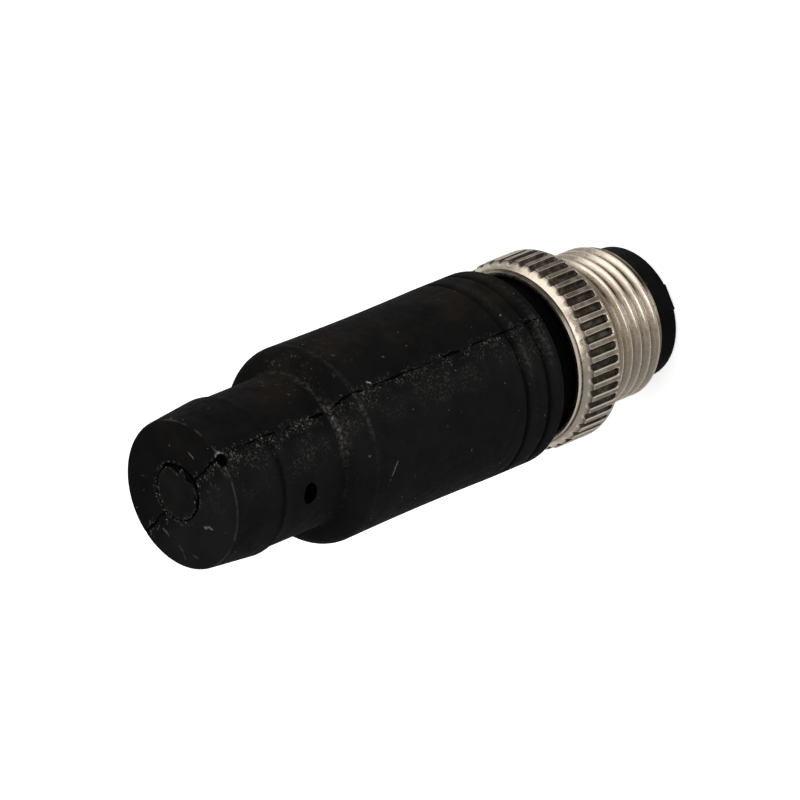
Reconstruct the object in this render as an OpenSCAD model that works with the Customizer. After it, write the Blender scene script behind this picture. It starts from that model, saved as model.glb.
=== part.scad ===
// Moulded M12 terminating plug: a male, A-coded, five-contact plug with no cable.
// A resistor across contacts 4 and 5 ends a bus line, and all of it is moulded over.
// The plug stands on its mating rim. The rim's face is at z = 0 and its axis is +Z.

/* [Rim and socket] */
// Length of the carrier's rim in front of the coupling screw
rim_l = 1.85; // [1.2:0.05:3]
// Diameter of the rim, which is wider than the screw's bore and keeps the screw on
rim_d = 10.3; // [10.15:0.05:10.6]
// Chamfer on the rim's outer and inner edges
rim_chamfer = 0.2; // [0.1:0.05:0.3]
// Diameter of the socket that takes the mating insert
socket_d = 8.6; // [8.2:0.05:8.9]
// Depth of the socket, from the rim's face
socket_depth = 8.7; // [7.5:0.1:9.5]
// Width of the coding key in the socket
key_w = 0.9; // [0.6:0.05:1.4]
// Height of the coding key above the socket's wall
key_h = 0.6; // [0.3:0.05:0.8]
// How far the coding key starts behind the rim's face
key_setback = 0.6; // [0.3:0.1:2]
// Direction of the coding key, in degrees from +X
key_angle = -92; // [-180:1:180]
// Height of the raised flat on the rim that shows where the key is
mark_h = 0.04; // [0.02:0.02:0.3]
// Width of the raised flat
mark_w = 2; // [0.5:0.1:2.5]

/* [Contacts] */
// Diameter of a contact pin
contact_d = 1; // [0.8:0.05:1.2]
// Diameter of the circle that the outer contacts stand on
contact_circle_d = 5; // [4.6:0.1:5.4]
// How far the contact tips sit behind the rim's face
tip_setback = 0.9; // [0.5:0.1:2]
// Length of the rounded tip of a contact
tip_l = 0.45; // [0.3:0.05:0.5]
// Diameter of the ring that holds a contact in the carrier
ring_d = 1.5; // [1.35:0.05:1.7]
// Length of the holding ring
ring_l = 0.9; // [0.6:0.1:1.5]
// Diameter of a solder cup
cup_d = 1.6; // [1.5:0.05:1.8]
// Length of a solder cup behind the carrier
cup_l = 3.3; // [2.8:0.1:4]
// Diameter of the bore in a solder cup
cup_bore_d = 1.1; // [0.95:0.05:1.2]
// Depth of the bore in a solder cup
cup_bore_l = 2.6; // [2:0.1:2.7]
// Length of the side opening of a solder cup
cup_window_l = 1.4; // [1:0.1:1.8]

/* [Contact carrier] */
// Diameter of the carrier's barrel, which the coupling screw turns on
barrel_d = 9.7; // [9.4:0.05:9.8]
// Diameter of the two flanges that anchor the carrier in the moulding
flange_d = 11.5; // [10.6:0.1:12.4]
// Thickness of a flange
flange_t = 1.4; // [1:0.1:2]
// Space between the two flanges
flange_gap = 1; // [0.6:0.1:2]
// Width of the notches that stop the carrier turning in the moulding
notch_w = 1.6; // [1:0.1:3]

/* [Coupling screw] */
// Free travel of the screw towards the rim
front_float = 0.3; // [0.1:0.05:0.8]
// Free travel of the screw towards the moulding
back_float = 0.5; // [0.2:0.05:1]
// Radial clearance between the screw and the carrier's barrel
screw_clearance = 0.12; // [0.08:0.01:0.2]
// Outside diameter of the M12 x 1 thread
thread_d = 11.9; // [11.6:0.05:12]
// Length of the threaded barrel, from its front end to the grip
thread_l = 6.45; // [5:0.05:8]
// Chamfer on the front end of the thread
thread_chamfer = 0.5; // [0.3:0.05:0.6]
// Length of the relief groove between thread and grip
relief_l = 1.65; // [0.8:0.05:2.4]
// Diameter of the relief groove
relief_d = 10.8; // [10.6:0.05:11]
// How far the knurled grip lies inside the moulded body's surface
knurl_inset = 0.1; // [0:0.05:0.4]
// Length of the knurled grip, with its chamfers
knurl_l = 3.72; // [3.2:0.02:6]
// Number of grooves in the knurl
knurl_count = 44; // [30:2:48]
// Width of a knurl groove at its mouth
knurl_groove_w = 0.65; // [0.45:0.05:0.7]
// Width of a knurl groove at its floor
knurl_floor_w = 0.3; // [0.1:0.05:0.4]
// Depth of a knurl groove
knurl_groove_depth = 0.3; // [0.2:0.05:0.4]
// Length of the front chamfer of the grip
front_chamfer_l = 0.5; // [0.3:0.05:0.8]
// Height of the front chamfer of the grip
front_chamfer_h = 0.4; // [0.3:0.05:0.6]
// Length of the cone at the back of the grip
back_cone_l = 0.72; // [0.5:0.02:1]
// Height of the cone at the back of the grip
back_cone_h = 0.55; // [0.4:0.05:0.6]
// Height of the step from the cone down to the thin lip
lip_step = 0.15; // [0.05:0.05:0.3]
// Length of the lip
lip_l = 0.33; // [0.2:0.01:0.6]
// Wall of the lip, around the counterbore
lip_wall = 0.3; // [0.2:0.05:0.4]
// Depth of the counterbore, from the lip's end
counterbore_l = 2.65; // [2:0.05:3.2]
// How far the screw is turned from the +X direction, in degrees
screw_turn = 2.3; // [0:0.1:360]

/* [Moulded body] */
// Open gap between the screw's lip and the body
body_gap = 2.25; // [1.5:0.05:3]
// Radial clearance between the moulding's nose and the screw's counterbore
nose_clearance = 0.25; // [0.15:0.05:0.4]
// Diameter of the grip body
body_d = 15; // [14.4:0.1:18]
// Length of the grip body
body_l = 21.2; // [16:0.1:30]
// How far the body's sides draw in at mid-length
waist = 0.09; // [0:0.01:0.4]
// Fillet at the body's front edge
front_fillet = 0.4; // [0.2:0.05:0.6]
// Fillet at the body's shoulder
shoulder_fillet = 1.45; // [0.6:0.05:1.5]
// Distance of the first ring groove from the body's front
ring_groove_at = 1.75; // [1.2:0.05:3]
// Distance between the two ring grooves
ring_groove_pitch = 2.3; // [1.5:0.05:4]
// Width of a ring groove
ring_groove_w = 0.5; // [0.3:0.05:0.8]
// Depth of a ring groove
ring_groove_depth = 0.16; // [0.08:0.01:0.3]
// Diameter of the neck behind the shoulder
neck_d = 11.64; // [10:0.02:11.8]
// Length of the neck
neck_l = 6.9; // [5:0.1:10]
// Fillet where the neck meets the shoulder
neck_fillet = 0.3; // [0.1:0.05:0.4]
// Diameter of the rear collar where it is widest
collar_d = 12; // [11.9:0.02:12.6]
// Length of the rear collar
collar_l = 4.2; // [3:0.1:6]
// Length of the soft step from the neck up to the collar
collar_step_l = 1.2; // [0.8:0.1:2]
// Diameter of the rear collar at its end
collar_end_d = 11.26; // [10.6:0.02:11.8]
// Fillet at the rear edge
rear_fillet = 0.18; // [0.1:0.01:0.3]
// Shrinkage gap around the pieces that are moulded in
mould_gap = 0.02; // [0.01:0.01:0.04]

/* [Marks of the mould] */
// Direction of the parting line, in degrees from +X
seam_angle = -74.1; // [-180:0.1:180]
// Diameter of the holes left by the pins that hold the insert in the mould
pip_d = 1.25; // [0.8:0.05:1.4]
// Depth of a pin hole below the neck's surface
pip_depth = 3; // [1:0.1:3.5]
// Distance of the pin holes from the rear face
pip_from_rear = 7.2; // [6:0.1:9]
// Angle between the parting line and a pin hole, on the neck's surface
pip_angle = 52.3; // [45:0.1:60]
// Radius of the scooped nick in the rear edge
nick_r = 0.95; // [0.6:0.05:1.2]
// Depth of the nick
nick_depth = 0.5; // [0.3:0.05:0.6]
// Direction of the nick, in degrees from +X
nick_angle = -77.5; // [-180:0.1:180]

/* [Cable blank] */
// Diameter of the rod that fills the cable entry
blank_d = 4.2; // [3:0.1:4.6]
// Thickness of the moulding between the rod and the bent lead
blank_wall = 1.75; // [0.5:0.05:3]
// Radial gap between the rod and its hole
blank_clearance = 0.05; // [0.02:0.01:0.1]
// How far the rod sits off the plug's axis
blank_shift = 0.46; // [0:0.02:0.6]
// Direction in which the rod is off the axis
blank_shift_angle = 59; // [-180:1:180]

/* [Resistor] */
// Diameter of the resistor's end caps
resistor_d = 2.4; // [1.8:0.05:2.8]
// Diameter of the resistor between its end caps
resistor_waist_d = 2.1; // [1.6:0.05:1.8]
// Length of the resistor
resistor_l = 6.3; // [5:0.1:6.8]
// Length of an end cap
cap_l = 1.5; // [1.2:0.1:2]
// Rounding of the end caps
cap_fillet = 0.5; // [0.3:0.05:0.6]
// Diameter of the resistor's leads
lead_d = 0.6; // [0.4:0.02:0.7]
// Free length of the straight lead, from the solder cup to the resistor
lead_free_l = 3; // [1.5:0.1:3.4]
// Straight length of the bent lead before its bend
lead_rise = 0.6; // [0.4:0.1:1]
// Distance of the lead ends from the bottom of their solder cups
lead_end_gap = 0.2; // [0.1:0.05:0.5]
// Height of the solder cone above a cup
solder_rise = 0.6; // [0.3:0.1:1]

/* [Hidden] */
$fn = 96;
eps = 0.01;

// Stations along the axis, from the rim's face up
screw_front_z = rim_l + front_float;
knurl_front_z = screw_front_z + thread_l;
knurl_back_z = knurl_front_z + knurl_l;
lip_z = knurl_back_z + lip_l;
seat_z = lip_z - counterbore_l;
nose_z = seat_z + back_float;
body_front_z = lip_z + body_gap;
shoulder_z = body_front_z + body_l;
collar_z = shoulder_z + neck_l;
rear_z = collar_z + collar_l;
carrier_back_z = body_front_z + 2 * flange_t + flange_gap;
ring_z = (socket_depth + carrier_back_z - ring_l) / 2;
cup_z = carrier_back_z + cup_l;
cup_floor_z = cup_z - cup_bore_l;
resistor_z = cup_z + lead_free_l;
resistor_top_z = resistor_z + resistor_l;
bend_z = resistor_top_z + lead_rise;
pip_z = rear_z - pip_from_rear;

// Radii that follow from the sizes above
barrel_r = barrel_d / 2;
screw_bore_r = barrel_r + screw_clearance;
knurl_r = body_d / 2 - knurl_inset;
cone_r = knurl_r - back_cone_h;
lip_r = cone_r - lip_step;
counterbore_r = lip_r - lip_wall;
nose_r = counterbore_r - nose_clearance;
neck_r = neck_d / 2;
lead_r = lead_d / 2;
bend_r = contact_circle_d / 4;
blank_z = bend_z + bend_r + lead_r + blank_wall;

// Directions of the contacts: the key is between 1 and 2, and 5 stands on the axis
contact_angles = [key_angle + 45, key_angle - 45, key_angle - 135, key_angle + 135];
bent_lead_angle = contact_angles[3];

// Points of an arc about (cx, cy) from angle a0 to a1
function arc(cx, cy, r, a0, a1, steps = 8) = [
    for (i = [0:steps])
        let (a = a0 + (a1 - a0) * i / steps)
        [cx + r * cos(a), cy + r * sin(a)]
];

// A groove across a side of radius r, centred at height z, seen in the profile
function ring_groove(r, z) = [
    [r, z - ring_groove_w / 2],
    [r - ring_groove_depth, z - ring_groove_w / 8],
    [r - ring_groove_depth, z + ring_groove_w / 8],
    [r, z + ring_groove_w / 2]
];

// Side of the grip body, drawn in at its middle
function waisted_side(z0, z1, steps = 12) = [
    for (i = [1:steps - 1])
        [body_d / 2 - waist * sin(180 * i / steps), z0 + (z1 - z0) * i / steps]
];

// Soft step from the neck up to the collar
function collar_step(z0, steps = 8) = [
    for (i = [0:steps])
        let (rise = (1 - cos(180 * i / steps)) / 2)
        [neck_r + (collar_d / 2 - neck_r) * rise, z0 + collar_step_l * i / steps]
];

module revolve(points) {
    rotate_extrude() polygon(points);
}

module rod(r, z0, z1) {
    translate([0, 0, z0]) cylinder(r = r, h = z1 - z0);
}

module at_contact(angle) {
    rotate(angle) translate([contact_circle_d / 2, 0, 0]) children();
}

// ---- Moulded body ----

module moulded_outline() {
    r = body_d / 2;
    groove_z = body_front_z + ring_groove_at;
    side_z = groove_z + ring_groove_pitch + ring_groove_w / 2;
    revolve(concat(
        [[0, nose_z], [nose_r - rim_chamfer, nose_z], [nose_r, nose_z + rim_chamfer]],
        [[nose_r, body_front_z]],
        arc(r - front_fillet, body_front_z + front_fillet, front_fillet, -90, 0),
        ring_groove(r, groove_z),
        ring_groove(r, groove_z + ring_groove_pitch),
        waisted_side(side_z, shoulder_z - shoulder_fillet),
        arc(r - shoulder_fillet, shoulder_z - shoulder_fillet, shoulder_fillet, 0, 90),
        arc(neck_r + neck_fillet, shoulder_z + neck_fillet, neck_fillet, 270, 180),
        collar_step(collar_z - collar_step_l),
        arc(collar_end_d / 2 - rear_fillet, rear_z - rear_fillet, rear_fillet, 0, 90, 4),
        [[0, rear_z]]
    ));
}

// Blind hole in the neck, square to the parting plane
module pip_hole() {
    rotate(seam_angle - pip_angle) translate([neck_r, 0, pip_z])
        rotate(pip_angle - 90) rotate([0, 90, 0])
            translate([0, 0, -pip_depth]) cylinder(d = pip_d, h = 2 * pip_depth);
}

module moulded_body() {
    color([0.09, 0.09, 0.09]) difference() {
        moulded_outline();
        carrier_form(mould_gap);
        for (angle = contact_angles) at_contact(angle) cup_form(mould_gap);
        cup_form(mould_gap);
        solder_form(mould_gap);
        at_contact(bent_lead_angle) solder_form(mould_gap);
        straight_lead_form(mould_gap);
        bent_lead_form(mould_gap);
        resistor_form(mould_gap);
        blank_form(blank_clearance);
        pip_hole();
        rotate(180) pip_hole();
        rotate(nick_angle) translate([collar_end_d / 2 + nick_r - nick_depth, 0, rear_z]) sphere(r = nick_r);
    }
}

module blank_form(gap = 0) {
    rotate(blank_shift_angle) translate([blank_shift, 0, 0])
        rod(blank_d / 2 + gap, blank_z - gap, rear_z + (gap > 0 ? 1 : 0));
}

module cable_blank() {
    color([0.16, 0.16, 0.16]) blank_form();
}

// ---- Contact carrier ----

module carrier_form(gap = 0) {
    r = barrel_r + gap;
    flange_r = flange_d / 2 + gap;
    front_flange_z = body_front_z - gap;
    back_flange_z = carrier_back_z - flange_t - gap;
    difference() {
        revolve([
            [0, 0],
            [rim_d / 2 - rim_chamfer, 0],
            [rim_d / 2, rim_chamfer],
            [rim_d / 2, rim_l],
            [r, rim_l],
            [r, front_flange_z],
            [flange_r, front_flange_z],
            [flange_r, front_flange_z + flange_t + 2 * gap],
            [r, front_flange_z + flange_t + 2 * gap],
            [r, back_flange_z],
            [flange_r, back_flange_z],
            [flange_r, carrier_back_z + gap],
            [0, carrier_back_z + gap]
        ]);
        for (side = [0, 180])
            rotate(key_angle + side)
                translate([r, gap - notch_w / 2, front_flange_z - 1])
                    cube([flange_d, notch_w - 2 * gap, 2 * flange_t + flange_gap + 2]);
    }
}

module socket() {
    difference() {
        revolve([
            [0, -eps],
            [socket_d / 2 + rim_chamfer, -eps],
            [socket_d / 2 + rim_chamfer, 0],
            [socket_d / 2, rim_chamfer],
            [socket_d / 2, socket_depth],
            [0, socket_depth]
        ]);
        rotate(key_angle) translate([socket_d / 2 - key_h, -key_w / 2, key_setback])
            cube([key_h + 1, key_w, socket_depth]);
    }
}

module contact_carrier() {
    color([0.07, 0.07, 0.07]) difference() {
        union() {
            carrier_form();
            rotate(key_angle) translate([barrel_r, -mark_w / 2, rim_chamfer])
                cube([rim_d / 2 + mark_h - barrel_r, mark_w, rim_l - rim_chamfer]);
        }
        socket();
        for (angle = contact_angles) at_contact(angle) contact_form(mould_gap);
        contact_form(mould_gap);
    }
}

// ---- Contacts ----

// A contact on the axis, without the bore of its solder cup
module contact_form(gap = 0) {
    r = contact_d / 2;
    revolve(concat(
        [[0, tip_setback - gap]],
        arc(r + gap - tip_l, tip_setback + tip_l - gap, tip_l, -90, 0),
        [
            [r + gap, ring_z - gap],
            [ring_d / 2 + gap, ring_z - gap],
            [ring_d / 2 + gap, ring_z + ring_l + gap],
            [r + gap, ring_z + ring_l + gap],
            [r + gap, carrier_back_z + gap],
            [0, carrier_back_z + gap]
        ]
    ));
}

module cup_form(gap = 0) {
    rod(cup_d / 2 + gap, carrier_back_z - gap, cup_z + gap);
}

module contact() {
    color([0.85, 0.68, 0.32]) difference() {
        union() {
            contact_form();
            cup_form();
        }
        rod(cup_bore_d / 2, cup_floor_z, cup_z + 1);
        translate([0, -cup_d, cup_z - cup_window_l]) cube([cup_d, 2 * cup_d, cup_window_l + 1]);
    }
}

// Contact number n, with the opening of its solder cup turned outwards
module outer_contact(n) {
    at_contact(contact_angles[n - 1]) contact();
}

module pin_1() { outer_contact(1); }
module pin_2() { outer_contact(2); }
module pin_3() { outer_contact(3); }
module pin_4() { outer_contact(4); }
module pin_5() { rotate(bent_lead_angle + 180) contact(); }

// ---- Coupling screw ----

// Outline of the knurl: narrow lands between grooves with a flat floor and sloping sides
module knurl_outline() {
    r = knurl_r;
    floor_r = r - knurl_groove_depth;
    pitch = 360 / knurl_count;
    half_groove = knurl_groove_w / 2 / r * 180 / PI;
    half_floor = knurl_floor_w / 2 / floor_r * 180 / PI;
    polygon([
        for (i = [0:knurl_count - 1])
            let (a = i * pitch)
            each [
                [floor_r * cos(a - half_floor), floor_r * sin(a - half_floor)],
                [floor_r * cos(a + half_floor), floor_r * sin(a + half_floor)],
                [r * cos(a + half_groove), r * sin(a + half_groove)],
                [r * cos(a + pitch - half_groove), r * sin(a + pitch - half_groove)]
            ]
    ]);
}

// The grip: the knurl's prism between a front chamfer and a back cone, which run past the lands
module grip() {
    r = knurl_r;
    past = 0.2;
    front_run = past * front_chamfer_l / front_chamfer_h;
    back_run = past * back_cone_l / back_cone_h;
    intersection() {
        translate([0, 0, knurl_front_z]) linear_extrude(knurl_l) knurl_outline();
        revolve([
            [0, knurl_front_z],
            [r - front_chamfer_h, knurl_front_z],
            [r + past, knurl_front_z + front_chamfer_l + front_run],
            [r + past, knurl_back_z - back_cone_l - back_run],
            [cone_r, knurl_back_z],
            [0, knurl_back_z]
        ]);
    }
}

module coupling_screw() {
    thread_r = thread_d / 2;
    color([0.72, 0.68, 0.62]) rotate(screw_turn) difference() {
        union() {
            revolve([
                [0, screw_front_z],
                [thread_r - thread_chamfer, screw_front_z],
                [thread_r, screw_front_z + thread_chamfer],
                [thread_r, knurl_front_z - relief_l],
                [relief_d / 2, knurl_front_z - relief_l],
                [relief_d / 2, knurl_front_z + eps],
                [0, knurl_front_z + eps]
            ]);
            grip();
            rod(lip_r, knurl_back_z - eps, lip_z);
        }
        rod(screw_bore_r, screw_front_z - 1, lip_z + 1);
        rod(counterbore_r, seat_z, lip_z + 1);
    }
}

// ---- Resistor, its leads and their solder joints ----

module resistor_form(gap = 0) {
    r = resistor_d / 2 + gap;
    waist_r = resistor_waist_d / 2 + gap;
    z0 = resistor_z - gap;
    z1 = resistor_top_z + gap;
    fillet = cap_fillet;
    step = (resistor_d - resistor_waist_d) / 2;
    revolve(concat(
        [[0, z0]],
        arc(r - fillet, z0 + fillet, fillet, -90, 0),
        [[r, z0 + cap_l], [waist_r, z0 + cap_l + step]],
        [[waist_r, z1 - cap_l - step], [r, z1 - cap_l]],
        arc(r - fillet, z1 - fillet, fillet, 0, 90),
        [[0, z1]]
    ));
}

module straight_lead_form(gap = 0) {
    rod(lead_r + gap, cup_floor_z + lead_end_gap - gap, resistor_z);
}

// The other lead leaves the resistor's far end, turns back beside it and runs down to contact 4
module bent_lead_form(gap = 0) {
    rod(lead_r + gap, resistor_top_z, bend_z);
    rotate(bent_lead_angle) {
        translate([bend_r, 0, bend_z]) rotate([90, 0, 0])
            rotate_extrude(angle = 180) translate([bend_r, 0]) circle(lead_r + gap);
        translate([2 * bend_r, 0, 0]) rod(lead_r + gap, cup_floor_z + lead_end_gap - gap, bend_z);
    }
}

// The solder fills a cup and climbs the lead in a cone
module solder_form(gap = 0) {
    revolve([
        [0, cup_floor_z],
        [cup_bore_d / 2 + gap, cup_floor_z],
        [cup_bore_d / 2 + gap, cup_z],
        [lead_r + gap, cup_z + solder_rise],
        [0, cup_z + solder_rise]
    ]);
}

module resistor_body() {
    color([0.78, 0.66, 0.48]) resistor_form();
}

module resistor_lead_a() {
    color([0.75, 0.75, 0.75]) straight_lead_form();
}

module resistor_lead_b() {
    color([0.75, 0.75, 0.75]) bent_lead_form();
}

module solder_joint_a() {
    color([0.62, 0.63, 0.65]) difference() {
        solder_form();
        straight_lead_form();
    }
}

module solder_joint_b() {
    color([0.62, 0.63, 0.65]) difference() {
        at_contact(bent_lead_angle) solder_form();
        bent_lead_form();
    }
}

moulded_body();
cable_blank();
contact_carrier();
pin_1();
pin_2();
pin_3();
pin_4();
pin_5();
coupling_screw();
resistor_body();
resistor_lead_a();
resistor_lead_b();
solder_joint_a();
solder_joint_b();
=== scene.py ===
"""Looks of a moulded M12 terminating plug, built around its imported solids."""

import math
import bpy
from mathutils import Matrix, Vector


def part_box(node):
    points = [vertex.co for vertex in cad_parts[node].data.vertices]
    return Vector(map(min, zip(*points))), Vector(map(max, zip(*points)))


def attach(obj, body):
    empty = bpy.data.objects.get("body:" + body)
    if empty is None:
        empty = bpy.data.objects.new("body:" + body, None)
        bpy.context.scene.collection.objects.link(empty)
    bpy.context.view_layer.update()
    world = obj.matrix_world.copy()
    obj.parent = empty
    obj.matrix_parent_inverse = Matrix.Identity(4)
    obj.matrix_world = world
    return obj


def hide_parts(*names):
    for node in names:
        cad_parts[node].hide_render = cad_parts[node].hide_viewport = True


bl_info = {
    "name": "M12 terminating plug",
    "version": (1, 0, 0),
    "blender": (4, 5, 0),
    "location": "View3D > Sidebar > Plug",
    "description": "Models and finishes a moulded M12 terminating plug on a pale floor",
    "category": "Object",
}

import bmesh
import bpy
from mathutils import Matrix, Vector

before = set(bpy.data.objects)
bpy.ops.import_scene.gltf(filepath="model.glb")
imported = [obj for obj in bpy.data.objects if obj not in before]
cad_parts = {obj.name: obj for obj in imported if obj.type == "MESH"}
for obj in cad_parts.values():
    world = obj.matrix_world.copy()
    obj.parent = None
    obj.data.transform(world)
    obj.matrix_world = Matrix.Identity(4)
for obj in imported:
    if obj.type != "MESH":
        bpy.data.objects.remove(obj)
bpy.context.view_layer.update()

MM = 0.001
TURN = 2 * math.pi

REAR_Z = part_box("moulded_body")[1][2]
NOSE_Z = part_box("moulded_body")[0][2]
SCREW_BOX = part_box("coupling_screw")
BLANK_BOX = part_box("cable_blank")

# The moulding's nose is a wall around the hollow that the carrier fills
NOSE_WALL = 1.2 * MM
NOSE_HOLLOW = 6 * MM


# ---- Sizes and colours that a user would change ----


def length(name, description, default_mm):
    """A length property, given in millimetres and kept in metres."""
    return bpy.props.FloatProperty(
        name=name, description=description, default=default_mm * MM, precision=5, unit="LENGTH"
    )


def angle(name, description, default_deg):
    """An angle property, given in degrees and kept in radians."""
    return bpy.props.FloatProperty(
        name=name, description=description, default=math.radians(default_deg), subtype="ANGLE"
    )


def tint(name, description, default):
    """A colour property."""
    return bpy.props.FloatVectorProperty(
        name=name, description=description, default=default, size=3, min=0, max=1, subtype="COLOR"
    )


class BodySizes(bpy.types.PropertyGroup):
    """Sizes of the moulded grip body."""

    radius: length("Body radius", "Radius of the grip body", 7.5)
    body_l: length("Body length", "Length of the grip body", 21.2)
    waist: length("Waist", "How far the sides draw in at mid-length", 0.09)
    front_fillet: length("Front fillet", "Fillet at the body's front edge", 0.4)
    shoulder_fillet: length("Shoulder fillet", "Fillet at the body's shoulder", 1.45)
    groove_at: length("First groove", "Distance of the first ring groove from the front", 1.75)
    groove_pitch: length("Groove pitch", "Distance between the two ring grooves", 2.3)
    groove_w: length("Groove width", "Width of a ring groove", 0.5)
    groove_depth: length("Groove depth", "Depth of a ring groove", 0.16)
    neck_r: length("Neck radius", "Radius of the neck behind the shoulder", 5.82)
    neck_l: length("Neck length", "Length of the neck", 6.9)
    neck_fillet: length("Neck fillet", "Fillet where the neck meets the shoulder", 0.3)
    collar_r: length("Collar radius", "Radius of the rear collar where it is widest", 6.0)
    collar_l: length("Collar length", "Length of the rear collar", 4.2)
    collar_step_l: length("Collar step", "Length of the step from neck to collar", 1.2)
    collar_end_r: length("Collar end radius", "Radius of the rear collar at its end", 5.63)
    rear_fillet: length("Rear fillet", "Fillet at the rear edge", 0.18)
    nose_r: length("Nose radius", "Radius of the moulding's nose inside the screw", 6.15)
    seam: angle("Parting line", "Direction of the parting line from +X", -74.1)
    pip_d: length("Pin hole", "Diameter of a hole left by a locating pin", 1.25)
    pip_depth: length("Pin hole depth", "Depth of a pin hole", 3.0)
    pip_from_rear: length("Pin hole place", "Distance of the pin holes from the rear", 7.2)
    pip_turn: angle("Pin hole turn", "Angle from the parting line to a pin hole", 52.3)
    nick_r: length("Nick radius", "Radius of the scooped nick in the rear edge", 0.44)
    nick_depth: length("Nick depth", "Depth of the nick", 0.42)
    nick_turn: angle("Nick direction", "Direction of the nick from +X", -77.5)
    small_nick_r: length("Small nick radius", "Radius of the nick at the parting line's far end", 0.3)
    small_nick_depth: length("Small nick depth", "Depth of the small nick", 0.14)
    blank_shift: length("Blank shift", "How far the cable blank sits off the axis", 0.46)
    blank_turn: angle("Blank direction", "Direction in which the blank is off the axis", 59)


class ScrewSizes(bpy.types.PropertyGroup):
    """Sizes of the coupling screw."""

    bore_r: length("Bore radius", "Radius of the bore that turns on the carrier", 4.97)
    thread_r: length("Thread radius", "Radius over the thread's crests", 5.95)
    root_r: length("Root radius", "Radius at the thread's root", 5.42)
    pitch: length("Pitch", "Pitch of the thread", 1.0)
    thread_l: length("Threaded barrel", "Length of the threaded barrel up to the grip", 6.45)
    thread_chamfer: length("End chamfer", "Chamfer on the thread's front end", 0.5)
    relief_l: length("Relief length", "Length of the relief groove", 1.65)
    relief_r: length("Relief radius", "Radius of the relief groove", 5.4)
    knurl_count: bpy.props.IntProperty(name="Grooves", description="Number of knurl grooves", default=44)
    knurl_depth: length("Groove depth", "Depth of a knurl groove", 0.3)
    knurl_start: length("Groove start", "Distance from the grip's front to its grooves", 0.36)
    front_chamfer_l: length("Front chamfer length", "Length of the grip's front chamfer", 0.25)
    front_chamfer_h: length("Front chamfer height", "Height of the grip's front chamfer", 0.2)
    back_cone_l: length("Back cone length", "Length of the cone behind the grip", 0.72)
    back_cone_h: length("Back cone height", "Height of the cone behind the grip", 0.55)
    lip_step: length("Lip step", "Height of the step from the cone to the lip", 0.15)
    lip_l: length("Lip length", "Length of the thin lip", 0.33)
    lip_wall: length("Lip wall", "Wall of the lip around the counterbore", 0.3)
    counterbore_l: length("Counterbore", "Depth of the counterbore", 2.65)
    screw_turn: angle("Screw turn", "How far the screw is turned from +X", 6.8)
    # Direction of the side where the screw's grime and tarnish are painted heavier, as shade
    shaded_turn: angle("Shaded side", "Direction of the screw's most soiled side from +X", -47)
    thread_start: length("Thread start", "Height of the thread's first root where it crosses +X", 0.76)


class PlugColours(bpy.types.PropertyGroup):
    """Colours of the finishes."""

    moulding: tint("Moulding", "Black elastomer of the grip body", (0.0054, 0.0053, 0.0052))
    blank: tint("Blank", "Black plastic of the cable blank", (0.0066, 0.0065, 0.0062))
    carrier: tint("Carrier", "Black plastic of the contact carrier", (0.0046, 0.0045, 0.0044))
    # This pale colour also paints the highlights on the moulding's arcs, rear edge and nick
    dust: tint("Dust", "Pale dust and scuffs on the moulding", (0.30, 0.28, 0.25))
    nickel: tint("Nickel", "Bright nickel plating of the coupling screw", (0.70, 0.615, 0.51))
    # Dark colour of the screw's grime, which also paints the shade in its knurl, thread roots, relief
    # and lip
    grime_and_shade: tint("Grime", "Dark grime in the knurl and the thread", (0.026, 0.020, 0.014))
    gold: tint("Gold", "Gilded contact pins", (0.85, 0.62, 0.27))
    floor: tint("Floor", "Pale floor", (0.82, 0.82, 0.82))


class CameraSettings(bpy.types.PropertyGroup):
    """Where the camera stands."""

    elevation: angle("Elevation", "Height of the camera above the horizon", 41.56)
    roll: angle("Roll", "Turn of the camera about its line of sight", 112.34)
    distance: length("Distance", "Distance from the camera to its target", 562.9)
    target_x: length("Target X", "X of the point that the camera looks at", 0.34)
    target_y: length("Target Y", "Y of the point that the camera looks at", 0.6)
    target_z: length("Target height", "Height of the point that the camera looks at", 24.0)
    lens: bpy.props.FloatProperty(name="Lens", description="Focal length in millimetres", default=345.3)


# ---- Modelling by hand, with operators ----


def deselect_all():
    """Nothing is selected or being edited."""
    if bpy.context.object and bpy.context.object.mode != "OBJECT":
        bpy.ops.object.mode_set(mode="OBJECT")
    bpy.ops.object.select_all(action="DESELECT")


def activate(piece):
    """Makes one piece the only selected and active one."""
    deselect_all()
    piece.select_set(True)
    bpy.context.view_layer.objects.active = piece


def arc(centre_r, centre_z, radius, start_deg, end_deg, steps=6):
    """Points of an arc in the plane of radius and height."""
    turns = [math.radians(start_deg + (end_deg - start_deg) * i / steps) for i in range(steps + 1)]
    return [(centre_r + radius * math.cos(turn), centre_z + radius * math.sin(turn)) for turn in turns]


def heading(turn):
    """A level direction, turned from +X."""
    return Matrix.Rotation(turn, 3, "Z") @ Vector((1, 0, 0))


def draw_profile(name, points, closed):
    """Draws a line through (radius, height) points from one vertex, and stays in edit mode."""
    deselect_all()
    bpy.ops.mesh.primitive_plane_add(size=MM)
    piece = bpy.context.object
    piece.name = name
    bpy.ops.object.mode_set(mode="EDIT")
    bpy.ops.mesh.select_all(action="SELECT")
    bpy.ops.mesh.merge(type="CENTER")
    line = [Vector((radius, 0, height)) for radius, height in points]
    bpy.ops.transform.translate(value=line[0])
    for here, there in zip(line, line[1:]):
        bpy.ops.mesh.extrude_vertices_move(TRANSFORM_OT_translate={"value": there - here})
    if closed:
        bm = bmesh.from_edit_mesh(piece.data)
        for vertex in bm.verts:
            vertex.select = len(vertex.link_edges) == 1
        bm.select_flush_mode()
        bmesh.update_edit_mesh(piece.data)
        bpy.ops.mesh.edge_face_add()
    bpy.ops.mesh.select_all(action="SELECT")
    return piece


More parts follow.
